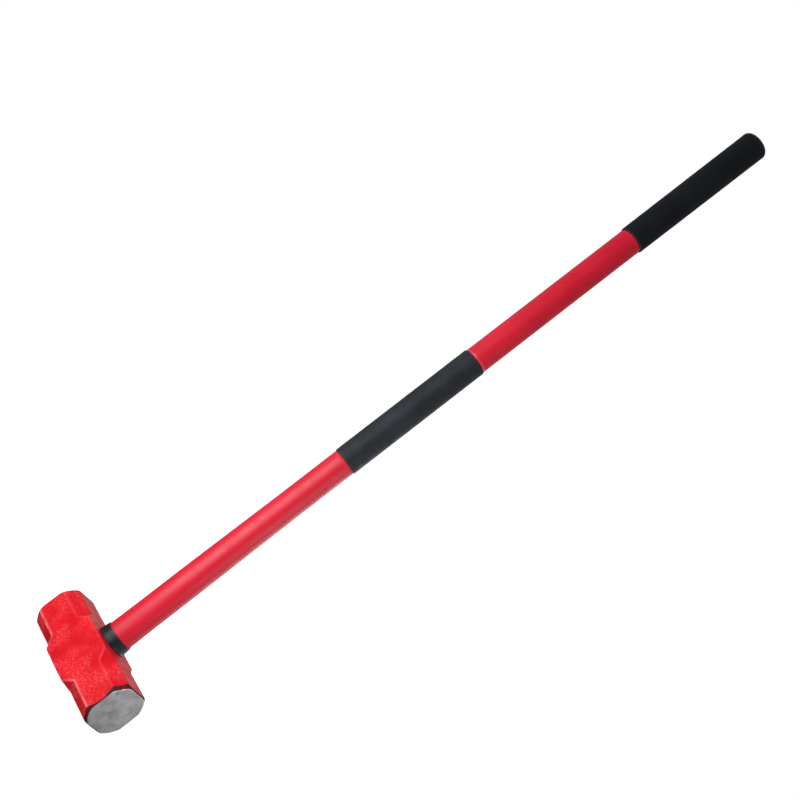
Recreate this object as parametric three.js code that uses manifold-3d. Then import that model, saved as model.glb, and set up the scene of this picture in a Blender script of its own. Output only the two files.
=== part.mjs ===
// Sledgehammer: a forged octagon-ended head on a sleeved steel-tube handle, standing on its head.
// Millimetres. +Z runs up the handle from the head's underside, +X is the striking direction,
// and the origin is on the handle's axis at the underside of the head.
import * as THREE from 'three';
import { mergeVertices } from 'three/addons/utils/BufferGeometryUtils.js';
import Module from 'manifold-3d';

const wasm = await Module();
wasm.setup();

// Clearance left between neighbouring pieces.
const GAP = 0.3;

// Head: a square bar whose four long edges are forged off towards both ends.
const HEAD_LENGTH = 146;
const HEAD_WIDTH = 52;
const EDGE_CHAMFER = 11;
const FULL_CORNER_HALF_LENGTH = 22;
const CHAMFER_START = 32;
const FORGED_RADIUS = 1.6;

// Striking faces: flat squares with round corners, with a bevel that widens by this much per
// millimetre back.
const FACE_HALF_WIDTH = 24.7;
const FACE_CORNER_RADIUS = 27;
const FACE_BEVEL_SLOPE = 0.93;
const FACE_SEGMENTS = 40;

// Eye through the head, wider at the underside where the handle is locked.
const EYE_TOP_RADIUS = 13.5;
const EYE_BOTTOM_RADIUS = 14.6;
const EYE_MOUTH_CHAMFER = 1.4;

// Handle: a steel tube inside a moulded sleeve.
const OVERALL_LENGTH = 900;
const TUBE_RADIUS = 11;
const TUBE_WALL = 2;
const TUBE_BELL = 0.8;
const BELL_LENGTH = 30;
const TUBE_RECESS = 2;
const TUBE_TOP = 893;
const SLEEVE_RADIUS = 14.4;
const NECK_SWELL = 0.85;
const NECK_SWELL_LOW = 120;
const NECK_SWELL_HIGH = 290;
const NECK_FLARE = 0.3;
const NECK_FLARE_LOW = 60;
const NECK_FLARE_HIGH = 92;
const SEAT_RADIUS = 13.2;

// Rubber pieces on the handle.
const COLLAR_HEIGHT = 11;
const COLLAR_BASE_RADIUS = 17.7;
const COLLAR_TOP_RADIUS = 16.5;
const COLLAR_LIP = 1.2;
const COLLAR_EDGE = 0.5;
const MID_GRIP_BOTTOM = 341.5;
const MID_GRIP_TOP = 511;
const MID_GRIP_RADIUS = 15.3;
const REAR_GRIP_BOTTOM = 722.5;
const REAR_GRIP_RADIUS = 15.6;
const REAR_GRIP_FLARE = 0.5;
const REAR_GRIP_END_WALL = 4;
const END_ROUNDING = 4.5;
const GRIP_EDGE = 0.8;

// Plugs in the two ends of the tube.
const LOCK_PLUG_LENGTH = 32;
const LOCK_PLUG_RECESS = 2.6;
const BUTT_PLUG_LENGTH = 24;
const BUTT_FLANGE_HEIGHT = 2.2;

const ROUND_SEGMENTS = 48;
const CUTTER_OVERLAP = 10;

function material(color, roughness, metalness) {
  return new THREE.MeshStandardMaterial({ color, roughness, metalness });
}

const PAINT = material(0xd9222b, 0.42, 0);
const SLEEVE_RED = material(0xcf1b30, 0.38, 0);
const RUBBER = material(0x23282d, 0.75, 0);
const STEEL = material(0x8f9194, 0.35, 1);
const NYLON = material(0x1a1b1d, 0.55, 0);

function toSolid(geometry) {
  geometry.deleteAttribute('normal');
  geometry.deleteAttribute('uv');
  const merged = mergeVertices(geometry, 1e-4);
  const vertProperties = new Float32Array(merged.attributes.position.array);
  const triVerts = new Uint32Array(merged.index.array);
  return new wasm.Manifold(new wasm.Mesh({ numProp: 3, vertProperties, triVerts }));
}

function toGeometry(solid) {
  const mesh = solid.getMesh();
  const geometry = new THREE.BufferGeometry();
  geometry.setAttribute('position', new THREE.BufferAttribute(mesh.vertProperties, 3));
  geometry.setIndex(new THREE.BufferAttribute(mesh.triVerts, 1));
  return geometry;
}

// A closed piece turned about +Z. The profile's [radius, height] points run anticlockwise.
function turned(profile, segments = ROUND_SEGMENTS) {
  const points = profile.map(([radius, height]) => new THREE.Vector2(radius, height));
  if (profile[0][0] > 0) points.push(points[0].clone());
  return new THREE.LatheGeometry(points, segments).rotateX(Math.PI / 2);
}

// Quarter-circle points of a turned edge, from angle `from` to `from` + 90 degrees.
function turnedEdge(radius, height, rounding, from, steps) {
  const points = [];
  for (let i = 0; i <= steps; i += 1) {
    const angle = from + (i / steps) * (Math.PI / 2);
    points.push([radius + rounding * Math.cos(angle), height + rounding * Math.sin(angle)]);
  }
  return points;
}

function roundedSquare(width, rounding) {
  const half = width / 2;
  const shape = new THREE.Shape();
  for (let corner = 0; corner < 4; corner += 1) {
    const angle = corner * (Math.PI / 2);
    const centre = new THREE.Vector2(half - rounding, half - rounding);
    centre.rotateAround(new THREE.Vector2(0, 0), angle);
    shape.absarc(centre.x, centre.y, rounding, angle, angle + Math.PI / 2, false);
  }
  return shape;
}

// Lays a geometry made along +Z, centred on its length, along the head.
function alongHead(geometry) {
  return geometry.rotateY(Math.PI / 2).translate(0, 0, HEAD_WIDTH / 2);
}

// What is forged off one long edge at one end: a flat chamfer and its sloping triangular facet.
function edgeCutter(edge, end) {
  const corner = HEAD_WIDTH / Math.SQRT2;
  const depth = EDGE_CHAMFER / Math.SQRT2;
  const run = CHAMFER_START - FULL_CORNER_HALF_LENGTH;
  const farEnd = HEAD_LENGTH / 2 + CUTTER_OVERLAP;
  const outline = new THREE.Shape([
    new THREE.Vector2(FULL_CORNER_HALF_LENGTH - run, corner + depth),
    new THREE.Vector2(CHAMFER_START, corner - depth),
    new THREE.Vector2(farEnd, corner - depth),
    new THREE.Vector2(farEnd, corner + depth),
  ]);
  const cutter = new THREE.ExtrudeGeometry(outline, { depth: 2 * HEAD_WIDTH, bevelEnabled: false });
  cutter.translate(0, 0, -HEAD_WIDTH);
  cutter.rotateY(end * Math.PI);
  cutter.rotateX(Math.PI / 4 + edge * (Math.PI / 2));
  return cutter.translate(0, 0, HEAD_WIDTH / 2);
}

// A bar with `sides` sides and coned ends, whose sides lie `reach` from its axis at the two faces.
function conedBar(reach, sides) {
  const half = HEAD_LENGTH / 2;
  const barReach = HEAD_WIDTH;
  const shoulder = half - (barReach - reach) / FACE_BEVEL_SLOPE;
  const outline = [
    [0, -half],
    [reach, -half],
    [barReach, -shoulder],
    [barReach, shoulder],
    [reach, half],
    [0, half],
  ];
  const toCorner = 1 / Math.cos(Math.PI / sides);
  const profile = outline.map(([distance, height]) => [distance * toCorner, height]);
  return toSolid(alongHead(turned(profile, sides).rotateZ(Math.PI / sides)));
}

function eyeCutter() {
  const bottomMouth = EYE_BOTTOM_RADIUS + EYE_MOUTH_CHAMFER;
  const topMouth = EYE_TOP_RADIUS + EYE_MOUTH_CHAMFER;
  return turned([
    [0, -1],
    [bottomMouth + 1, -1],
    [EYE_BOTTOM_RADIUS, EYE_MOUTH_CHAMFER],
    [EYE_TOP_RADIUS, HEAD_WIDTH - EYE_MOUTH_CHAMFER],
    [topMouth + 1, HEAD_WIDTH + 1],
    [0, HEAD_WIDTH + 1],
  ]);
}

function headGeometry() {
  const section = roundedSquare(HEAD_WIDTH, FORGED_RADIUS);
  const bar = new THREE.ExtrudeGeometry(section, {
    depth: HEAD_LENGTH + CUTTER_OVERLAP,
    bevelEnabled: false,
    curveSegments: 3,
  });
  bar.translate(0, 0, -(HEAD_LENGTH + CUTTER_OVERLAP) / 2);
  let head = toSolid(alongHead(bar));
  for (let edge = 0; edge < 4; edge += 1) {
    for (let end = 0; end < 2; end += 1) {
      head = head.subtract(toSolid(edgeCutter(edge, end)));
    }
  }
  head = head.intersect(conedBar(FACE_HALF_WIDTH, 4));
  head = head.intersect(conedBar(FACE_CORNER_RADIUS, FACE_SEGMENTS));
  return toGeometry(head.subtract(toSolid(eyeCutter())));
}

// Steel tube, belled out at the bottom where the lock plug is driven in.
function tubeGeometry() {
  const bore = TUBE_RADIUS - TUBE_WALL;
  return turned([
    [bore + TUBE_BELL, TUBE_RECESS],
    [TUBE_RADIUS + TUBE_BELL, TUBE_RECESS],
    [TUBE_RADIUS, TUBE_RECESS + BELL_LENGTH],
    [TUBE_RADIUS, TUBE_TOP],
    [bore, TUBE_TOP],
    [bore, TUBE_RECESS + BELL_LENGTH],
  ]);
}

// Bush that fills the eye around the tube.
function eyeBushGeometry() {
  const bottom = EYE_MOUTH_CHAMFER;
  const top = HEAD_WIDTH - GAP;
  const bellTop = TUBE_RECESS + BELL_LENGTH;
  return turned([
    [TUBE_RADIUS + TUBE_BELL + GAP, bottom],
    [EYE_BOTTOM_RADIUS - GAP, bottom],
    [EYE_TOP_RADIUS - GAP, top],
    [TUBE_RADIUS + GAP, top],
    [TUBE_RADIUS + GAP, bellTop],
  ]);
}

// Tapered plug driven into the tube's bell to lock the head on.
function lockPlugGeometry() {
  const bore = TUBE_RADIUS - TUBE_WALL;
  const top = LOCK_PLUG_RECESS + LOCK_PLUG_LENGTH;
  const bottomRadius = bore + TUBE_BELL - GAP;
  return turned([
    [0, LOCK_PLUG_RECESS],
    [bottomRadius - 1, LOCK_PLUG_RECESS],
    [bottomRadius - 0.1, LOCK_PLUG_RECESS + 1],
    [bore - GAP, TUBE_RECESS + BELL_LENGTH],
    [bore - GAP - 1, top],
    [0, top],
  ]);
}

// Outer radius of the sleeve: swollen at the neck, and flared a little more just above the head.
function sleeveRadius(height) {
  const { smoothstep } = THREE.MathUtils;
  const swell = NECK_SWELL * (1 - smoothstep(height, NECK_SWELL_LOW, NECK_SWELL_HIGH));
  const flare = NECK_FLARE * (1 - smoothstep(height, NECK_FLARE_LOW, NECK_FLARE_HIGH));
  return SLEEVE_RADIUS + swell + flare;
}

function sleeveStretch(bottom, top, steps) {
  const points = [];
  for (let i = 0; i <= steps; i += 1) {
    const height = bottom + ((top - bottom) * i) / steps;
    points.push([sleeveRadius(height), height]);
  }
  return points;
}

// Sleeve over the tube, with thinner seats under the two grips.
function sleeveGeometry() {
  const bore = TUBE_RADIUS + GAP;
  const bottom = HEAD_WIDTH + GAP;
  return turned([
    [bore, bottom],
    ...sleeveStretch(bottom, MID_GRIP_BOTTOM, 14),
    [SEAT_RADIUS, MID_GRIP_BOTTOM],
    [SEAT_RADIUS, MID_GRIP_TOP],
    ...sleeveStretch(MID_GRIP_TOP, REAR_GRIP_BOTTOM, 8),
    [SEAT_RADIUS, REAR_GRIP_BOTTOM],
    [SEAT_RADIUS, TUBE_TOP],
    [bore, TUBE_TOP],
  ]);
}

// Shock ring between the head and the sleeve, with a lip where it meets the head.
function collarGeometry() {
  const bottom = HEAD_WIDTH + GAP;
  const top = bottom + COLLAR_HEIGHT;
  const edge = turnedEdge(COLLAR_TOP_RADIUS - COLLAR_EDGE, top - COLLAR_EDGE, COLLAR_EDGE, 0, 3);
  return turned([
    [sleeveRadius(bottom) + GAP, bottom],
    [COLLAR_BASE_RADIUS, bottom],
    [COLLAR_BASE_RADIUS, bottom + COLLAR_LIP],
    [COLLAR_BASE_RADIUS - COLLAR_LIP / 3, bottom + 2 * COLLAR_LIP],
    ...edge,
    [sleeveRadius(top) + GAP, top],
  ]);
}

function midGripGeometry() {
  const bore = SEAT_RADIUS + GAP;
  const bottom = MID_GRIP_BOTTOM + GAP;
  const top = MID_GRIP_TOP - GAP;
  const edgeRadius = MID_GRIP_RADIUS - GRIP_EDGE;
  return turned([
    [bore, bottom],
    ...turnedEdge(edgeRadius, bottom + GRIP_EDGE, GRIP_EDGE, -Math.PI / 2, 3),
    ...turnedEdge(edgeRadius, top - GRIP_EDGE, GRIP_EDGE, 0, 3),
    [bore, top],
  ]);
}

// Rear grip: a cup that closes over the end of the handle.
function rearGripGeometry() {
  const bore = SEAT_RADIUS + GAP;
  const bottom = REAR_GRIP_BOTTOM + GAP;
  const endRadius = REAR_GRIP_RADIUS + REAR_GRIP_FLARE;
  const endHeight = OVERALL_LENGTH - END_ROUNDING;
  const cupFloor = OVERALL_LENGTH - REAR_GRIP_END_WALL;
  return turned([
    [bore, bottom],
    ...turnedEdge(REAR_GRIP_RADIUS - GRIP_EDGE, bottom + GRIP_EDGE, GRIP_EDGE, -Math.PI / 2, 3),
    ...turnedEdge(endRadius - END_ROUNDING, endHeight, END_ROUNDING, 0, 6),
    [0, OVERALL_LENGTH],
    [0, cupFloor],
    [bore, cupFloor],
  ]);
}

// Plug that covers the tube's cut end inside the rear grip.
function buttPlugGeometry() {
  const stem = TUBE_RADIUS - TUBE_WALL - GAP;
  const flangeBottom = TUBE_TOP + GAP;
  const flangeTop = flangeBottom + BUTT_FLANGE_HEIGHT;
  return turned([
    [0, flangeBottom - BUTT_PLUG_LENGTH],
    [stem - 1, flangeBottom - BUTT_PLUG_LENGTH],
    [stem, flangeBottom - BUTT_PLUG_LENGTH + 2],
    [stem, flangeBottom],
    [TUBE_RADIUS, flangeBottom],
    [TUBE_RADIUS, flangeTop],
    [0, flangeTop],
  ]);
}

function addPiece(group, name, geometry, finish) {
  const piece = new THREE.Mesh(geometry, finish);
  piece.name = name;
  group.add(piece);
}

const sledgehammer = new THREE.Group();
sledgehammer.name = 'sledgehammer';
addPiece(sledgehammer, 'hammer_head', headGeometry(), PAINT);
addPiece(sledgehammer, 'handle_tube', tubeGeometry(), STEEL);
addPiece(sledgehammer, 'eye_bush', eyeBushGeometry(), NYLON);
addPiece(sledgehammer, 'lock_plug', lockPlugGeometry(), STEEL);
addPiece(sledgehammer, 'handle_sleeve', sleeveGeometry(), SLEEVE_RED);
addPiece(sledgehammer, 'neck_collar', collarGeometry(), RUBBER);
addPiece(sledgehammer, 'mid_grip', midGripGeometry(), RUBBER);
addPiece(sledgehammer, 'rear_grip', rearGripGeometry(), RUBBER);
addPiece(sledgehammer, 'butt_plug', buttPlugGeometry(), NYLON);

export default sledgehammer;
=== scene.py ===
"""A sledgehammer standing on its head: a painted forged head, a red sleeved handle, rubber grips."""
import math

import bpy
import numpy as np
from mathutils import Matrix, Vector, noise


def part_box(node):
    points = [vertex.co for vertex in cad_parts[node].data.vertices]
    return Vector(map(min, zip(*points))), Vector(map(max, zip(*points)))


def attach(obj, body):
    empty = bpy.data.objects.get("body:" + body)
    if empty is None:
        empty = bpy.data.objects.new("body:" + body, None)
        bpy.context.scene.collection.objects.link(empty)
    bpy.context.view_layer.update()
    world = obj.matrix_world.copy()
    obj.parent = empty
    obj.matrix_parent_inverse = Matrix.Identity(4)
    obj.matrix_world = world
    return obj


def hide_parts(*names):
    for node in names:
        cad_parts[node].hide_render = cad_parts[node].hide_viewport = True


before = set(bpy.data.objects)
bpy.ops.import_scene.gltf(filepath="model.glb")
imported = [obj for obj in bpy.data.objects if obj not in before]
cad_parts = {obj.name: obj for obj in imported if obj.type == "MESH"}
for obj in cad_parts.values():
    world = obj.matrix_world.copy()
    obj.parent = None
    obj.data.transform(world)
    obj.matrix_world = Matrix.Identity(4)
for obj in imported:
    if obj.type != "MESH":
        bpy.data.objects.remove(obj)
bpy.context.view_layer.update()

MM = 0.001

# Head, in millimetres from its own centre: X along the head, Z up the handle.
head_low, head_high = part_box("hammer_head")
HALF_LENGTH = (head_high[0] - head_low[0]) / 2 / MM
HALF_WIDTH = (head_high[2] - head_low[2]) / 2 / MM
EDGE_CHAMFER = 11.0
FULL_CORNER_END = 22.0
CHAMFER_START = 32.0
FACE_HALF_WIDTH = 24.7
FACE_CORNER_RADIUS = 27.0
BEVEL_SLOPE = 0.93  # what the bevel's radius gains for each millimetre back from the face
FACE_CROWN = 0.3
FRONT_PAINT_END = 24.7  # radius, at the face, of the cone on which the paint stops
BACK_PAINT_END = 27.6
BORDER_REACH = 12.0  # the "end" value on the line where the paint stops
EDGE_ROUNDING = 0.5
EDGE_WEAR_WIDTH = 1.1
# How strongly the head's edges are lightened low down and high up: partly paint rubbed thin, partly a
# painted highlight on the lower edges.
LOW_EDGE_RUB_AND_HIGHLIGHT, HIGH_EDGE_RUB_AND_HIGHLIGHT = 0.9, 0.06
CHAMFER_BLEND = 0.03  # as a share of the slope that leads down to the chamfer
FACE_CORNER_BLEND = 0.3
BEVEL_BLEND = 0.12
POINTS_AROUND = 288
MIDDLE_RINGS = 163
END_RINGS = 34
CLOSE_RINGS_REACH = 9.0
FACE_RINGS = (0.985, 0.965, 0.94, *np.linspace(0.9, 0.05, 20))  # as shares of the face's rim
GROUND_OFF = 0.75  # how much of the forged unevenness the striking faces have lost
EYE_TOP_RADIUS = 13.5
EYE_BOTTOM_RADIUS = 14.6
EYE_MOUTH = 1.4

# Handle, in millimetres above the floor.
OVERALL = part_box("rear_grip")[1][2] / MM
TUBE_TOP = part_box("handle_tube")[1][2] / MM
TUBE_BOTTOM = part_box("handle_tube")[0][2] / MM
TUBE_RADIUS = 11.0
TUBE_WALL = 2.0
TUBE_BELL = 0.8
BELL_TOP = 32.0
GAP = 0.3
SLEEVE_RADIUS = 14.4
NECK_SWELL = 0.85
NECK_SWELL_LOW, NECK_SWELL_HIGH = 120.0, 290.0
NECK_FLARE = 0.3
NECK_FLARE_LOW, NECK_FLARE_HIGH = 60.0, 92.0
SEAT_RADIUS = 13.2
REAR_GRIP_FLARE = 0.5
END_WALL = 4.0
MID_GRIP_LOW, MID_GRIP_HIGH = (corner[2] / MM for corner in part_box("mid_grip"))
REAR_GRIP_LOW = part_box("rear_grip")[0][2] / MM
COLLAR_LOW, COLLAR_HIGH = (corner[2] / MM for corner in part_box("neck_collar"))

# Colours, in linear light.
PAINT_RED = (0.68, 0.006, 0.016)
PAINT_DEEP = (0.57, 0.003, 0.010)
PAINT_THIN = (0.80, 0.105, 0.115)
# Paler paint along the head's edges: partly paint rubbed thin, partly a painted highlight of the edges
# catching the light.
PAINT_RUBBED_AND_HIGHLIT = (0.88, 0.22, 0.21)
BARE_EDGE = (0.16, 0.09, 0.09)
BAND_DARK = (0.045, 0.006, 0.009)
BAND_BROWN = (0.14, 0.016, 0.019)
FACE_DARK = (0.40, 0.39, 0.40)
FACE_LIGHT = (0.64, 0.63, 0.64)
FACE_BRIGHT = (0.80, 0.79, 0.80)
FACE_PIT = (0.04, 0.035, 0.035)
SLEEVE_RED = (0.64, 0.002, 0.026)
SLEEVE_DEEP = (0.57, 0.001, 0.020)
SLEEVE_LIGHT = (0.76, 0.045, 0.070)
MID_RUBBER_DARK = (0.011, 0.014, 0.018)
MID_RUBBER_LIGHT = (0.018, 0.022, 0.028)
# The end grip is the same rubber as the middle grip, made several times darker: painted shade for the
# weaker light at the handle's end.
SHADED_END_RUBBER_DARK = (0.002, 0.0035, 0.006)
SHADED_END_RUBBER_LIGHT = (0.005, 0.008, 0.012)
COLLAR_DARK = (0.0015, 0.002, 0.0022)
COLLAR_LIGHT = (0.004, 0.005, 0.0055)
RUBBER_DUST = (0.05, 0.053, 0.057)
NYLON_DARK = (0.012, 0.012, 0.014)
NYLON_LIGHT = (0.03, 0.03, 0.033)
STEEL_DARK = (0.30, 0.30, 0.31)
STEEL_LIGHT = (0.50, 0.50, 0.51)
STEEL_OXIDE = (0.07, 0.045, 0.042)

# Studio: distances in metres, angles in degrees round the handle from +X.
FLOOR_PALE = (0.9, 0.9, 0.9, 1)
FLOOR_DIM = (0.25, 0.25, 0.25, 1)
FLOOR_GLOW = 0.78
WORLD_LIGHT = 0.32
CAMERA_PLACE = (0.815, -0.902, 0.266)
CAMERA_TARGET = (-0.0216, 0.0003, 0.427)
CAMERA_ROLL = math.radians(52.4)
CAMERA_LENS = 54.0


# ---------------------------------------------------------------- mesh helpers


def make_object(name, vertices, faces, sharp_angle=40):
    """A mesh object from points in millimetres, smooth but for edges sharper than the angle."""
    mesh = bpy.data.meshes.new(name)
    mesh.from_pydata((np.asarray(vertices) * MM).tolist(), [], faces)
    mesh.validate()
    mesh.shade_smooth()
    mesh.set_sharp_from_angle(angle=math.radians(sharp_angle))
    piece = bpy.data.objects.new(name, mesh)
    bpy.context.scene.collection.objects.link(piece)
    return piece


def add_values(piece, name, values):
    attribute = piece.data.attributes.new(name, "FLOAT", "POINT")
    attribute.data.foreach_set("value", np.asarray(values, np.float32))


def filleted(corners, steps=5):
    """A closed profile of [radius, height] points from (radius, height, fillet radius) corners."""
    points = []
    count = len(corners)
    for i, (radius, height, fillet) in enumerate(corners):
        here = np.array([radius, height])
        if fillet == 0:
            points.append(here)
            continue
        before = np.array(corners[i - 1][:2]) - here
        after = np.array(corners[(i + 1) % count][:2]) - here
        before /= np.linalg.norm(before)
        after /= np.linalg.norm(after)
        half_angle = math.acos(float(np.clip(before @ after, -1, 1))) / 2
        reach = fillet / math.tan(half_angle)
        middle = (before + after) / np.linalg.norm(before + after)
        centre = here + middle * (fillet / math.sin(half_angle))
        start = here + before * reach - centre
        end = here + after * reach - centre
        for step in range(steps + 1):
            t = step / steps
            arm = start * (1 - t) + end * t
            points.append(centre + arm / np.linalg.norm(arm) * fillet)
    return points


def left_turn(before, here, after):
    """The angle by which a profile turns to the left at a point."""
    first, second = here - before, after - here
    return math.atan2(first[0] * second[1] - first[1] * second[0], float(first @ second))


def turned(name, profile, segments=128, longest=6.0, rough=0.0, grain=30.0):
    """A piece turned about the handle's axis from a closed, anticlockwise profile.

    Its "edge" value is 1 round the outside of its corners, where it wears, and 0 elsewhere.
    """
    full_wear = math.radians(14)
    points = []
    for here, after in zip(profile, profile[1:] + profile[:1]):
        here, after = np.array(here), np.array(after)
        pieces = max(1, math.ceil(np.linalg.norm(after - here) / longest))
        points += [here + (after - here) * k / pieces for k in range(pieces)]
    vertices, rings, edges = [], [], []
    for i, (radius, height) in enumerate(points):
        bend = left_turn(points[i - 1], points[i], points[(i + 1) % len(points)])
        worn = min(max(bend / full_wear, 0), 1)
        if radius < 1e-6:
            rings.append([len(vertices)] * segments)
            vertices.append((0.0, 0.0, height))
            edges.append(worn)
            continue
        rings.append([len(vertices) + k for k in range(segments)])
        for k in range(segments):
            angle = 2 * math.pi * k / segments
            x, y = math.cos(angle), math.sin(angle)
            wave = rough * noise.noise(Vector((x * radius, y * radius, height)) / grain)
            vertices.append((x * (radius + wave), y * (radius + wave), height))
            edges.append(worn)
    faces = []
    for low, high in zip(rings, rings[1:] + rings[:1]):
        for k in range(segments):
            face = [low[k], low[(k + 1) % segments], high[(k + 1) % segments], high[k]]
            face = list(dict.fromkeys(face))
            if len(face) > 2:
                faces.append(face)
    piece = make_object(name, vertices, faces)
    add_values(piece, "edge", edges)
    return piece


def cut(piece, cutter):
    """Cuts one closed mesh out of another and keeps the result."""
    modifier = piece.modifiers.new("cut", "BOOLEAN")
    modifier.operation = "DIFFERENCE"
    modifier.solver = "EXACT"
    modifier.object = cutter
    graph = bpy.context.evaluated_depsgraph_get()
    result = bpy.data.meshes.new_from_object(piece.evaluated_get(graph), depsgraph=graph)
    piece.modifiers.clear()
    piece.data = result
    bpy.data.objects.remove(cutter)


def soft_min(a, b, blend):
    """The smaller of two values, with a rounded change from one to the other."""
    return -blend * np.logaddexp(-a / blend, -b / blend)


def smooth_step(value, low, high):
    t = np.clip((value - low) / (high - low), 0, 1)
    return t * t * (3 - 2 * t)


# ---------------------------------------------------------------- the forged head


DENTS = (  # place on the head, radius and depth of the marks left by handling and hammering
    ((73, -18.7, 13.2), 0.9, 0.5),
    ((73, -6.5, 9.5), 1.3, 0.12),
    ((73, 9.0, -7.0), 0.9, 0.2),
    ((73, 3.0, 15.0), 0.8, 0.15),
    ((73, -14.0, -10.0), 0.8, 0.15),
    ((73, 14.0, 6.0), 1.0, 0.15),
    ((73, 2.0, -16.0), 0.7, 0.15),
    ((-73, 4.0, 6.0), 1.2, 0.4),
    ((-73, -10.0, -9.0), 0.9, 0.3),
    ((22, -26, 20), 3.0, 0.3),
    ((-12, -26, -24), 3.5, 0.35),
    ((-50, -26, 10), 5.0, 0.15),
    ((44, -26, -12), 4.0, 0.15),
    ((30, 26, -14), 5.0, 0.2),
    ((-24, 26, 22), 3.0, 0.3),
    ((8, 26, 4), 6.0, 0.15),
    ((-62, 18, 22), 3.0, 0.2),
)


WAVES = (  # length and height of the surface's unevenness, and where in the noise it is taken
    (17.0, 0.2, Vector((0, 0, 0))),
    (5.0, 0.07, Vector((31, 7, 3))),
    (1.9, 0.02, Vector((3, 71, 9))),
)


def head_section(x, angles):
    """Round one section: radius, nearness to an edge, distance past the paint, share of the bevel."""
    along = abs(x)
    corner = HALF_WIDTH * math.sqrt(2)
    depth = EDGE_CHAMFER / math.sqrt(2)
    forged = (along - FULL_CORNER_END) / (CHAMFER_START - FULL_CORNER_END)
    chamfer = corner - depth * soft_min(forged, 1.0, CHAMFER_BLEND)
    distances = []
    for side in range(8):
        flat = HALF_WIDTH if side % 2 == 0 else chamfer
        facing = np.cos(angles - side * math.pi / 4)
        distances.append(np.where(facing > 0.05, flat / np.maximum(facing, 0.05), 1e3))
    nearest, second = np.sort(distances, axis=0)[:2]
    edge = np.exp(-(((second - nearest) / EDGE_WEAR_WIDTH) ** 2))
    body = nearest - EDGE_ROUNDING * np.log(np.exp((nearest - distances) / EDGE_ROUNDING).sum(axis=0))
    widening = (HALF_LENGTH - along) * BEVEL_SLOPE
    across = np.maximum(np.abs(np.cos(angles)), np.abs(np.sin(angles)))
    square, disc = (FACE_HALF_WIDTH + widening) / across, FACE_CORNER_RADIUS + widening
    bevel = soft_min(square, disc, FACE_CORNER_BLEND)
    paint_end = FRONT_PAINT_END if x > 0 else BACK_PAINT_END
    past_paint = (body - paint_end - widening) * math.hypot(1, BEVEL_SLOPE) / BEVEL_SLOPE
    cut_off = np.maximum(body - bevel, 0)
    share = cut_off / (cut_off + widening)
    return soft_min(body, bevel, BEVEL_BLEND), edge, BORDER_REACH + past_paint, share


def head_stations():
    """Places along the head, closer together towards its ends."""
    fine_start = HALF_LENGTH - CLOSE_RINGS_REACH
    middle = np.linspace(-fine_start, fine_start, MIDDLE_RINGS)
    end = np.linspace(fine_start, HALF_LENGTH - FACE_CROWN, END_RINGS)[1:]
    return [*-end[::-1], *middle, *end]


def head_grid():
    """Rings of points from one striking face's middle to the other's, with their surface values."""
    angles = np.linspace(0, 2 * math.pi, POINTS_AROUND, endpoint=False)
    rows = [(x, *head_section(x, angles)) for x in head_stations()]
    _, rim, _, rim_end, _ = rows[-1]
    caps = []
    for scale in FACE_RINGS:
        x = HALF_LENGTH - FACE_CROWN * scale**2
        caps.append((x, rim * scale, 0 * rim, rim_end + (1 - scale) * FACE_HALF_WIDTH, 1 + 0 * rim))
    rows = [(-x, *values) for x, *values in caps[::-1]] + rows + caps
    points = [np.column_stack([0 * angles + x, radius * np.cos(angles), radius * np.sin(angles)])
              for x, radius, *_ in rows]
    edge, end, share = (np.array([row[i] for row in rows]) for i in (2, 3, 4))
    return np.array(points), {"edge": edge, "end": np.maximum(end, 0), "share": share}


def relaxed(grid, rounds):
    """Softens every crease of a grid of points that closes on itself in its second direction."""
    for _ in range(rounds):
        around = (np.roll(grid, 1, axis=1) + np.roll(grid, -1, axis=1)) / 2
        along = grid.copy()
        along[1:-1] = (grid[:-2] + grid[2:]) / 2
        grid = grid * 0.5 + around * 0.25 + along * 0.25
    return grid


def hammered(grid, values):
    """Moves each point in or out a little, as forging and use leave a surface, and notes the dents."""
    around = np.roll(grid, -1, axis=1) - np.roll(grid, 1, axis=1)
    outward = np.cross(around, np.gradient(grid, axis=0))
    outward /= np.linalg.norm(outward, axis=2, keepdims=True)
    rise = np.zeros(values["end"].size)
    for length, height, shift in WAVES:
        rise += [height * noise.noise(Vector(point) / length + shift) for point in grid.reshape(-1, 3)]
    rise = rise.reshape(values["end"].shape) * (1 - GROUND_OFF * values["share"])
    values["dent"] = np.zeros_like(rise)
    for place, radius, depth in DENTS:
        apart = np.linalg.norm(grid - np.array(place), axis=2)
        values["dent"] += depth * np.exp(-((apart / radius) ** 2))
    return grid + outward * (rise - values["dent"])[:, :, None]


def eye_cutter():
    top = 2 * HALF_WIDTH
    over = 2
    return turned("eye_cutter", [
        (0, -over),
        *filleted([
            (EYE_BOTTOM_RADIUS + EYE_MOUTH + over, -over, 0),
            (EYE_BOTTOM_RADIUS, EYE_MOUTH, 1.2),
            (EYE_TOP_RADIUS, top - EYE_MOUTH, 1.2),
            (EYE_TOP_RADIUS + EYE_MOUTH + over, top + over, 0),
        ]),
        (0, top + over),
    ], segments=144, longest=4.0)


def forged_head():
    grid, values = head_grid()
    grid = hammered(relaxed(grid, rounds=3), values)
    count, segments = grid.shape[:2]
    points = np.vstack([grid.reshape(-1, 3), [(-HALF_LENGTH, 0, 0)], [(HALF_LENGTH, 0, 0)]])
    points[:, 2] += HALF_WIDTH
    faces = []
    last_row = (count - 1) * segments
    first_middle, last_middle = count * segments, count * segments + 1
    for k in range(segments):
        after = (k + 1) % segments
        for low in range(0, last_row, segments):
            high = low + segments
            faces.append((low + k, low + after, high + after, high + k))
        faces.append((first_middle, after, k))
        faces.append((last_middle, last_row + k, last_row + after))
    head = make_object("forged_head", points, faces)
    for name, value in values.items():
        add_values(head, name, [*value.ravel(), value[0, 0], value[-1, 0]])
    cut(head, eye_cutter())
    head.data.set_sharp_from_angle(angle=math.radians(38))
    return head


# ---------------------------------------------------------------- the handle


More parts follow.
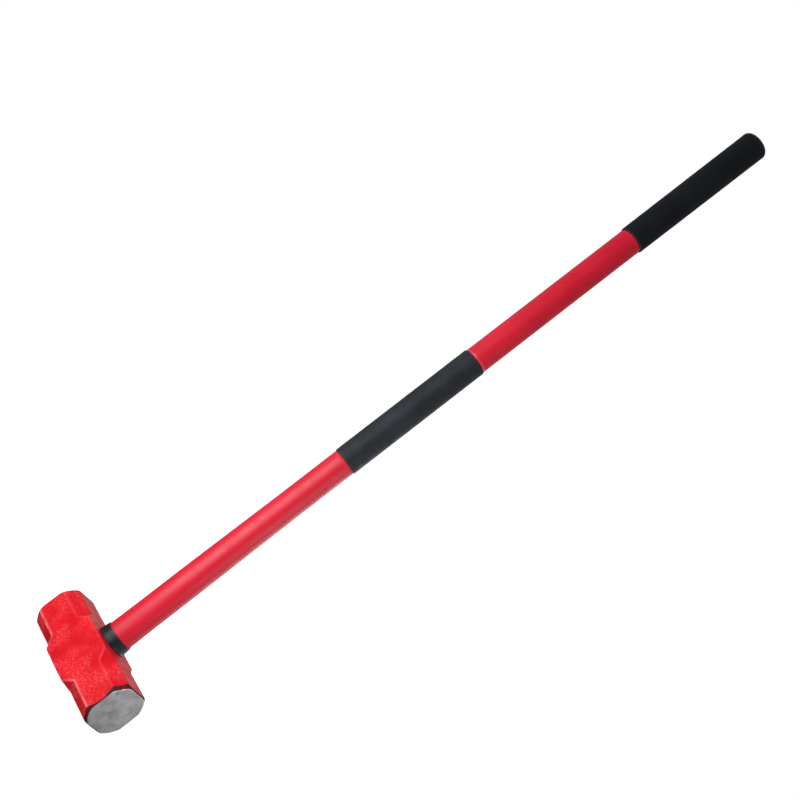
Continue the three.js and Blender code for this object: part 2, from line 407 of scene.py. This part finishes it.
def sleeve_radius(height):
    swell = NECK_SWELL * (1 - smooth_step(height, NECK_SWELL_LOW, NECK_SWELL_HIGH))
    flare = NECK_FLARE * (1 - smooth_step(height, NECK_FLARE_LOW, NECK_FLARE_HIGH))
    return float(SLEEVE_RADIUS + swell + flare)


def sleeve_stretch(low, high):
    """Outer side of a bare stretch of the sleeve, with its two ends eased over."""
    ease_in, ease_down = 0.35, 0.6
    heights = np.linspace(low + ease_down, high - ease_down, math.ceil((high - low) / 6))
    return [
        (sleeve_radius(low) - ease_in, low),
        *((sleeve_radius(height), height) for height in heights),
        (sleeve_radius(high) - ease_in, high),
    ]


def red_sleeve():
    bore = TUBE_RADIUS + GAP
    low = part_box("handle_sleeve")[0][2] / MM
    mid_low, mid_high = MID_GRIP_LOW - GAP, MID_GRIP_HIGH + GAP
    rear_low = REAR_GRIP_LOW - GAP
    return turned("red_sleeve", [
        (bore, low),
        *sleeve_stretch(low, mid_low),
        (SEAT_RADIUS, mid_low),
        (SEAT_RADIUS, mid_high),
        *sleeve_stretch(mid_high, rear_low),
        (SEAT_RADIUS, rear_low),
        (SEAT_RADIUS, TUBE_TOP),
        (bore, TUBE_TOP),
    ], rough=0.06, grain=24.0)


def shock_collar():
    low, high = COLLAR_LOW, COLLAR_HIGH
    bore = sleeve_radius(low) + GAP
    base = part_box("neck_collar")[1][0] / MM
    lip, shoulder, step_in, taper = 1.4, 2.2, 0.4, 1.2
    return turned("shock_collar", filleted([
        (bore, low, 0.2),
        (base, low, 0.3),
        (base, low + lip, 0.6),
        (base - step_in, low + shoulder, 0.5),
        (base - taper, high, 0.5),
        (sleeve_radius(high) + GAP, high, 0.15),
    ]), longest=1.5, rough=0.05, grain=8.0)


def middle_grip():
    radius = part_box("mid_grip")[1][0] / MM
    bore = SEAT_RADIUS + GAP
    return turned("middle_grip", filleted([
        (bore, MID_GRIP_LOW, 0.2),
        (radius, MID_GRIP_LOW, 0.9),
        (radius, MID_GRIP_HIGH, 0.9),
        (bore, MID_GRIP_HIGH, 0.2),
    ]), longest=2.0, rough=0.1, grain=6.0)


def end_grip():
    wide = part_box("rear_grip")[1][0] / MM
    bore = SEAT_RADIUS + GAP
    cup_floor = OVERALL - END_WALL
    return turned("end_grip", filleted([
        (0, cup_floor, 0),
        (bore, cup_floor, 0.5),
        (bore, REAR_GRIP_LOW, 0.2),
        (wide - REAR_GRIP_FLARE, REAR_GRIP_LOW, 0.9),
        (wide, OVERALL - 0.6, 4.6),
        (0, OVERALL, 0),
    ], steps=8), longest=2.0, rough=0.1, grain=6.0)


# ---------------------------------------------------------------- inside the handle


def steel_tube():
    bore = TUBE_RADIUS - TUBE_WALL
    return turned("steel_tube", filleted([
        (bore + TUBE_BELL, TUBE_BOTTOM, 0.3),
        (TUBE_RADIUS + TUBE_BELL, TUBE_BOTTOM, 0.3),
        (TUBE_RADIUS, BELL_TOP, 0),
        (TUBE_RADIUS, TUBE_TOP, 0.3),
        (bore, TUBE_TOP, 0.3),
        (bore, BELL_TOP, 0),
    ]), segments=96, longest=40.0)


def eye_bush_ring():
    low, high = (corner[2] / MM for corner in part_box("eye_bush"))
    return turned("eye_bush_ring", filleted([
        (TUBE_RADIUS + TUBE_BELL + GAP, low, 0.2),
        (EYE_BOTTOM_RADIUS - GAP, low, 0.4),
        (EYE_TOP_RADIUS - GAP, high, 0.3),
        (TUBE_RADIUS + GAP, high, 0.2),
        (TUBE_RADIUS + GAP, BELL_TOP, 0),
    ]), segments=96, longest=8.0)


def tapered_plug():
    """The plug driven into the tube's bell, with a shallow punch mark in its end."""
    low, high = (corner[2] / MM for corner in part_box("lock_plug"))
    bore = TUBE_RADIUS - TUBE_WALL
    return turned("tapered_plug", filleted([
        (0, low + 1.1, 0),
        (1.6, low + 0.3, 0.2),
        (5.6, low + 0.3, 0.2),
        (6.0, low, 0.2),
        (bore + TUBE_BELL - GAP - 0.1, low, 0.7),
        (bore - GAP, BELL_TOP, 0),
        (bore - GAP - 1, high, 0.3),
        (0, high, 0),
    ]), segments=96)


def butt_end_plug():
    low, high = (corner[2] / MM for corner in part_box("butt_plug"))
    stem = TUBE_RADIUS - TUBE_WALL - GAP
    flange = TUBE_TOP + GAP
    return turned("butt_end_plug", filleted([
        (0, low, 0),
        (stem - 0.8, low, 0.4),
        (stem, low + 2, 0),
        (stem, flange, 0),
        (TUBE_RADIUS, flange, 0.2),
        (TUBE_RADIUS, high, 0.6),
        (0, high, 0),
    ]), segments=96)


# ---------------------------------------------------------------- materials


class Finish:
    """A Principled material, with short ways to add the nodes that vary it over the surface."""

    def __init__(self, name):
        self.material = bpy.data.materials.new(name)
        self.material.use_nodes = True
        self.tree = self.material.node_tree
        self.shader = self.tree.nodes["Principled BSDF"]
        self.place = self.tree.nodes.new("ShaderNodeTexCoord").outputs["Object"]

    def fill(self, socket, value):
        if isinstance(value, bpy.types.NodeSocket):
            self.tree.links.new(value, socket)
        elif isinstance(value, tuple) and socket.type == "RGBA":
            socket.default_value = (*value, 1)
        else:
            socket.default_value = value

    def set(self, **values):
        """Sets shader inputs, named with underscores for spaces."""
        for name, value in values.items():
            self.fill(self.shader.inputs[name.replace("_", " ")], value)

    def add(self, kind, output=0, **values):
        node = self.tree.nodes.new(kind)
        for name, value in values.items():
            self.fill(node.inputs[name], value)
        return node.outputs[output]

    def stretched(self, x, y, z):
        return self.add("ShaderNodeMapping", Vector=self.place, Scale=(x, y, z))

    def noise(self, scale, detail=4.0, roughness=0.55, place=None, distortion=0.0):
        """Noise with so many grains to the metre, from 0 to 1 and mostly near 0.5."""
        return self.add("ShaderNodeTexNoise", "Fac", Vector=place or self.place, Scale=scale,
                        Detail=detail, Roughness=roughness, Distortion=distortion)

    def cells(self, scale):
        return self.add("ShaderNodeTexVoronoi", "Distance", Vector=self.place, Scale=scale)

    def value(self, name):
        node = self.tree.nodes.new("ShaderNodeAttribute")
        node.attribute_name = name
        return node.outputs["Fac"]

    def step(self, value, low, high, to_low=0.0, to_high=1.0):
        """The value mapped from one range to another, held at the ends."""
        node = self.tree.nodes.new("ShaderNodeMapRange")
        node.interpolation_type = "SMOOTHSTEP"
        for name, number in (("Value", value), ("From Min", low), ("From Max", high),
                             ("To Min", to_low), ("To Max", to_high)):
            self.fill(node.inputs[name], number)
        return node.outputs["Result"]

    def calc(self, operation, first, second):
        node = self.tree.nodes.new("ShaderNodeMath")
        node.operation = operation
        self.fill(node.inputs[0], first)
        self.fill(node.inputs[1], second)
        return node.outputs[0]

    def mix(self, factor, first, second):
        node = self.tree.nodes.new("ShaderNodeMix")
        node.data_type = "RGBA"
        self.fill(node.inputs[0], factor)
        self.fill(node.inputs[6], first)
        self.fill(node.inputs[7], second)
        return node.outputs[2]

    def blend(self, factor, first, second):
        node = self.tree.nodes.new("ShaderNodeMix")
        self.fill(node.inputs[0], factor)
        self.fill(node.inputs[2], first)
        self.fill(node.inputs[3], second)
        return node.outputs[0]

    def bump(self, height, depth, under=None):
        """A bump of the given depth in millimetres, on top of another if one is given."""
        node = self.tree.nodes.new("ShaderNodeBump")
        self.fill(node.inputs["Height"], height)
        node.inputs["Strength"].default_value = 1.0
        node.inputs["Distance"].default_value = depth * MM
        if under:
            self.fill(node.inputs["Normal"], under)
        return node.outputs["Normal"]


def head_finish():
    """Red enamel over forged steel, a dark bare band on each bevel, and ground grey faces."""
    finish = Finish("head_finish")
    end, share = finish.value("end"), finish.value("share")
    edge, dent = finish.value("edge"), finish.value("dent")

    clouds = finish.noise(38, 3)
    mottle = finish.noise(420, 6, 0.6, distortion=0.3)
    patches = finish.noise(34, 5, 0.6)
    red = finish.mix(finish.step(clouds, 0.35, 0.65), PAINT_DEEP, PAINT_RED)
    thin = finish.calc("MULTIPLY", finish.step(mottle, 0.4, 0.68), finish.step(patches, 0.4, 0.62))
    red = finish.mix(finish.calc("MULTIPLY", thin, 0.55), red, PAINT_THIN)
    height = finish.add("ShaderNodeSeparateXYZ", "Z", Vector=finish.place)
    # The edges are lightened far more low on the head than high up: partly paint rubbed where it
    # stands, partly a painted highlight on the lower edges.
    wear_and_highlight = finish.step(height, HALF_WIDTH * MM, 1.6 * HALF_WIDTH * MM, LOW_EDGE_RUB_AND_HIGHLIGHT, HIGH_EDGE_RUB_AND_HIGHLIGHT)
    rubbed_and_highlit = finish.calc("MULTIPLY", edge, finish.step(finish.noise(150, 6), 0.3, 0.6))
    red = finish.mix(finish.calc("MULTIPLY", rubbed_and_highlit, wear_and_highlight), red, PAINT_RUBBED_AND_HIGHLIT)
    chipped = finish.step(finish.calc("MULTIPLY", edge, finish.noise(420, 5, 0.7)), 0.64, 0.68)
    red = finish.mix(chipped, red, BARE_EDGE)

    wander = finish.calc("SUBTRACT", finish.noise(130, 5), 0.5)
    paint_line = finish.calc("ADD", end, finish.calc("MULTIPLY", wander, 3.0))
    on_bevel = finish.step(paint_line, BORDER_REACH + 0.1, BORDER_REACH + 0.5)
    grind_line = finish.calc("ADD", share, finish.calc("MULTIPLY", wander, 0.6))
    on_face = finish.step(grind_line, 0.72, 0.86)

    scale = finish.mix(finish.step(finish.noise(300, 6), 0.4, 0.7), BAND_DARK, BAND_BROWN)
    ground = finish.mix(finish.step(finish.noise(90, 6, 0.6), 0.3, 0.7), FACE_DARK, FACE_LIGHT)
    scratches = finish.noise(1, 5, 0.6, place=finish.stretched(60, 90, 2600))
    ground = finish.mix(finish.step(scratches, 0.55, 0.75, 0.0, 0.35), ground, FACE_BRIGHT)
    pits = finish.step(finish.noise(620, 4, 0.7), 0.68, 0.74)
    dirt = finish.calc("MAXIMUM", finish.calc("MULTIPLY", pits, 0.8), finish.step(dent, 0.05, 0.35))
    ground = finish.mix(dirt, ground, FACE_PIT)

    colour = finish.mix(on_face, finish.mix(on_bevel, red, scale), ground)
    gloss = finish.step(finish.noise(110, 5), 0.3, 0.7, 0.34, 0.5)
    rough = finish.blend(on_face, finish.blend(on_bevel, gloss, 0.6),
                         finish.step(scratches, 0.3, 0.8, 0.42, 0.56))
    metal = finish.blend(on_face, finish.calc("MULTIPLY", chipped, 0.8), 0.85)

    peel = finish.bump(finish.noise(1100, 3), 0.025)
    peel = finish.bump(finish.noise(330, 5, 0.6), 0.09, peel)
    peel = finish.bump(finish.calc("MULTIPLY", on_face, scratches), 0.03, peel)
    finish.set(Base_Color=colour, Roughness=rough, Metallic=metal, Normal=peel, Specular_IOR_Level=0.16)
    return finish.material


def sleeve_finish():
    """Satin red plastic with faint flow marks along the handle and light scuffs."""
    finish = Finish("sleeve_finish")
    flow = finish.noise(1, 5, 0.6, place=finish.stretched(120, 120, 7))
    clouds = finish.noise(22, 4)
    red = finish.mix(finish.step(clouds, 0.3, 0.7), SLEEVE_DEEP, SLEEVE_RED)
    red = finish.mix(finish.step(flow, 0.5, 0.75, 0.0, 0.12), red, SLEEVE_LIGHT)
    scuffs = finish.noise(1, 6, 0.7, place=finish.stretched(500, 500, 60))
    scuffs = finish.calc("MULTIPLY", finish.step(scuffs, 0.62, 0.72), finish.step(clouds, 0.5, 0.65))
    worn = finish.calc("MAXIMUM", scuffs, finish.value("edge"))
    red = finish.mix(finish.calc("MULTIPLY", worn, 0.35), red, SLEEVE_LIGHT)
    gloss = finish.step(finish.noise(60, 6), 0.3, 0.7, 0.42, 0.5)
    gloss = finish.calc("ADD", gloss, finish.calc("MULTIPLY", scuffs, 0.12))
    skin = finish.bump(finish.noise(1500, 3), 0.02)
    skin = finish.bump(flow, 0.03, skin)
    finish.set(Base_Color=red, Roughness=gloss, Normal=skin, Specular_IOR_Level=0.4)
    return finish.material


def rubber_finish(name, dark, light, smoothest, grain, shine):
    """Black rubber: a fine pebbled skin, with paler dusty patches, worn smoother at its edges.

    The roughness starts at the smoothest value, and the grain is in pebbles to the metre.
    """
    finish = Finish(name)
    edge = finish.value("edge")
    clouds = finish.noise(30, 5)
    dust = finish.noise(400, 6, 0.7)
    black = finish.mix(finish.step(clouds, 0.3, 0.7), dark, light)
    black = finish.mix(finish.step(dust, 0.58, 0.75, 0.0, 0.25), black, RUBBER_DUST)
    black = finish.mix(finish.calc("MULTIPLY", edge, 0.3), black, RUBBER_DUST)
    rough = finish.step(finish.noise(90, 5), 0.3, 0.7, smoothest, smoothest + 0.12)
    rough = finish.calc("SUBTRACT", rough, finish.calc("MULTIPLY", edge, 0.1))
    skin = finish.bump(finish.cells(grain), 0.07)
    skin = finish.bump(finish.noise(260, 4), 0.05, skin)
    finish.set(Base_Color=black, Roughness=rough, Normal=skin, Specular_IOR_Level=shine)
    return finish.material


def steel_finish():
    """Turned or drawn steel: fine rings round the axis, a little oxide, bright edges."""
    finish = Finish("steel_finish")
    rings = finish.noise(1, 4, 0.6, place=finish.stretched(40, 40, 900))
    oxide = finish.noise(140, 6, 0.65)
    grey = finish.mix(finish.step(rings, 0.3, 0.7), STEEL_DARK, STEEL_LIGHT)
    grey = finish.mix(finish.step(oxide, 0.6, 0.75, 0.0, 0.6), grey, STEEL_OXIDE)
    grey = finish.mix(finish.calc("MULTIPLY", finish.value("edge"), 0.5), grey, STEEL_LIGHT)
    rough = finish.step(oxide, 0.4, 0.75, 0.3, 0.6)
    finish.set(Base_Color=grey, Roughness=rough, Metallic=1.0, Normal=finish.bump(rings, 0.02))
    return finish.material


def nylon_finish():
    """Black moulded nylon, a little worn at its edges."""
    finish = Finish("nylon_finish")
    black = finish.mix(finish.step(finish.noise(180, 5), 0.35, 0.7), NYLON_DARK, NYLON_LIGHT)
    black = finish.mix(finish.calc("MULTIPLY", finish.value("edge"), 0.4), black, RUBBER_DUST)
    rough = finish.step(finish.noise(300, 4), 0.3, 0.7, 0.42, 0.6)
    finish.set(Base_Color=black, Roughness=rough, Normal=finish.bump(finish.noise(900, 4), 0.03))
    return finish.material


# ---------------------------------------------------------------- studio


def aimed(thing, place, target, roll=0.0):
    direction = Vector(target) - Vector(place)
    turn = direction.to_track_quat("-Z", "Y").to_matrix().to_4x4()
    thing.matrix_world = Matrix.Translation(place) @ turn @ Matrix.Rotation(roll, 4, "Z")


def softbox(name, azimuth, distance, height, aim_height, width, tall, power):
    light = bpy.data.lights.new(name, "AREA")
    light.shape = "RECTANGLE"
    light.size = width
    light.size_y = tall
    light.energy = power
    lamp = bpy.data.objects.new(name, light)
    bpy.context.scene.collection.objects.link(lamp)
    angle = math.radians(azimuth)
    place = (distance * math.cos(angle), distance * math.sin(angle), height)
    aimed(lamp, place, (0, 0, aim_height))
    lamp.visible_camera = False


def add_shader(tree, kind, **values):
    node = tree.nodes.new(kind)
    for name, value in values.items():
        node.inputs[name].default_value = value
    return node


def seen_or_lit(tree, seen, lit, output):
    """Shows the camera one shader and gives every other ray another."""
    path = tree.nodes.new("ShaderNodeLightPath")
    mixer = tree.nodes.new("ShaderNodeMixShader")
    tree.links.new(path.outputs["Is Camera Ray"], mixer.inputs[0])
    tree.links.new(lit.outputs[0], mixer.inputs[1])
    tree.links.new(seen.outputs[0], mixer.inputs[2])
    tree.links.new(mixer.outputs[0], output.inputs["Surface"])


def studio_floor():
    """A floor that the camera sees nearly white, but which throws little light back up."""
    reach = 6.0
    mesh = bpy.data.meshes.new("studio_floor")
    corners = [(-reach, -reach, 0), (reach, -reach, 0), (reach, reach, 0), (-reach, reach, 0)]
    mesh.from_pydata(corners, [], [(0, 1, 2, 3)])
    floor = bpy.data.objects.new("studio_floor", mesh)
    bpy.context.scene.collection.objects.link(floor)
    material = bpy.data.materials.new("studio_floor")
    material.use_nodes = True
    tree = material.node_tree
    seen = tree.nodes["Principled BSDF"]
    seen.inputs["Base Color"].default_value = FLOOR_PALE
    seen.inputs["Roughness"].default_value = 0.9
    seen.inputs["Specular IOR Level"].default_value = 0.1
    seen.inputs["Emission Color"].default_value = (1, 1, 1, 1)
    seen.inputs["Emission Strength"].default_value = FLOOR_GLOW
    lit = add_shader(tree, "ShaderNodeBsdfDiffuse", Color=FLOOR_DIM)
    seen_or_lit(tree, seen, lit, tree.nodes["Material Output"])
    mesh.materials.append(material)


def studio_world():
    """White behind everything, and a dimmer light all round."""
    world = bpy.data.worlds.new("studio")
    bpy.context.scene.world = world
    world.use_nodes = True
    tree = world.node_tree
    tree.nodes.clear()
    seen = add_shader(tree, "ShaderNodeBackground", Color=(1, 1, 1, 1))
    lit = add_shader(tree, "ShaderNodeBackground", Color=(1, 1, 1, 1), Strength=WORLD_LIGHT)
    seen_or_lit(tree, seen, lit, tree.nodes.new("ShaderNodeOutputWorld"))


def studio_camera():
    """The camera, rolled so that the handle runs up to the right across the picture."""
    camera = bpy.data.cameras.new("camera")
    camera.lens = CAMERA_LENS
    camera.sensor_width = 36.0
    camera.clip_start = 0.01
    holder = bpy.data.objects.new("camera", camera)
    bpy.context.scene.collection.objects.link(holder)
    aimed(holder, CAMERA_PLACE, CAMERA_TARGET, CAMERA_ROLL)
    bpy.context.scene.camera = holder


studio_camera()
studio_world()
studio_floor()
bpy.context.scene.view_settings.view_transform = "Standard"
softbox("key", azimuth=-92, distance=0.8, height=0.18, aim_height=0.2, width=0.8, tall=0.5, power=9.7)
softbox("left", azimuth=-150, distance=1.2, height=0.5, aim_height=0.3, width=0.6, tall=0.8, power=1.2)
softbox("right", azimuth=12, distance=0.6, height=0.3, aim_height=0.28, width=0.5, tall=0.35, power=1.5)
softbox("back", azimuth=80, distance=0.9, height=0.25, aim_height=0.2, width=1.0, tall=0.5, power=3.4)
softbox("rim", azimuth=132, distance=1.3, height=0.35, aim_height=0.05, width=0.9, tall=0.5, power=0.5)

mid_rubber = rubber_finish("mid_rubber_finish", MID_RUBBER_DARK, MID_RUBBER_LIGHT,
                           smoothest=0.5, grain=900, shine=0.2)
# A darker copy of the grip rubber: painted shade at the handle's end.
shaded_end_rubber = rubber_finish("shaded_end_rubber_finish", SHADED_END_RUBBER_DARK, SHADED_END_RUBBER_LIGHT,
                           smoothest=0.55, grain=900, shine=0.2)
collar_rubber = rubber_finish("collar_finish", COLLAR_DARK, COLLAR_LIGHT,
                              smoothest=0.36, grain=1500, shine=0.3)
steel = steel_finish()
nylon = nylon_finish()

PIECES = (
    (forged_head, "hammer_head", "head_paint", head_finish()),
    (red_sleeve, "handle_sleeve", "sleeve_red", sleeve_finish()),
    (shock_collar, "neck_collar", "collar_rubber", collar_rubber),
    (middle_grip, "mid_grip", "grip_rubber", mid_rubber),
    (end_grip, "rear_grip", "grip_rubber", shaded_end_rubber),
    (steel_tube, "handle_tube", "tube_steel", steel),
    (eye_bush_ring, "eye_bush", "black_nylon", nylon),
    (tapered_plug, "lock_plug", "plug_steel", steel),
    (butt_end_plug, "butt_plug", "black_nylon", nylon),
)
for make, node, slot, material in PIECES:
    piece = make()
    piece.data.materials.clear()
    piece.data.materials.append(material)
    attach(piece, "root")
    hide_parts(node)
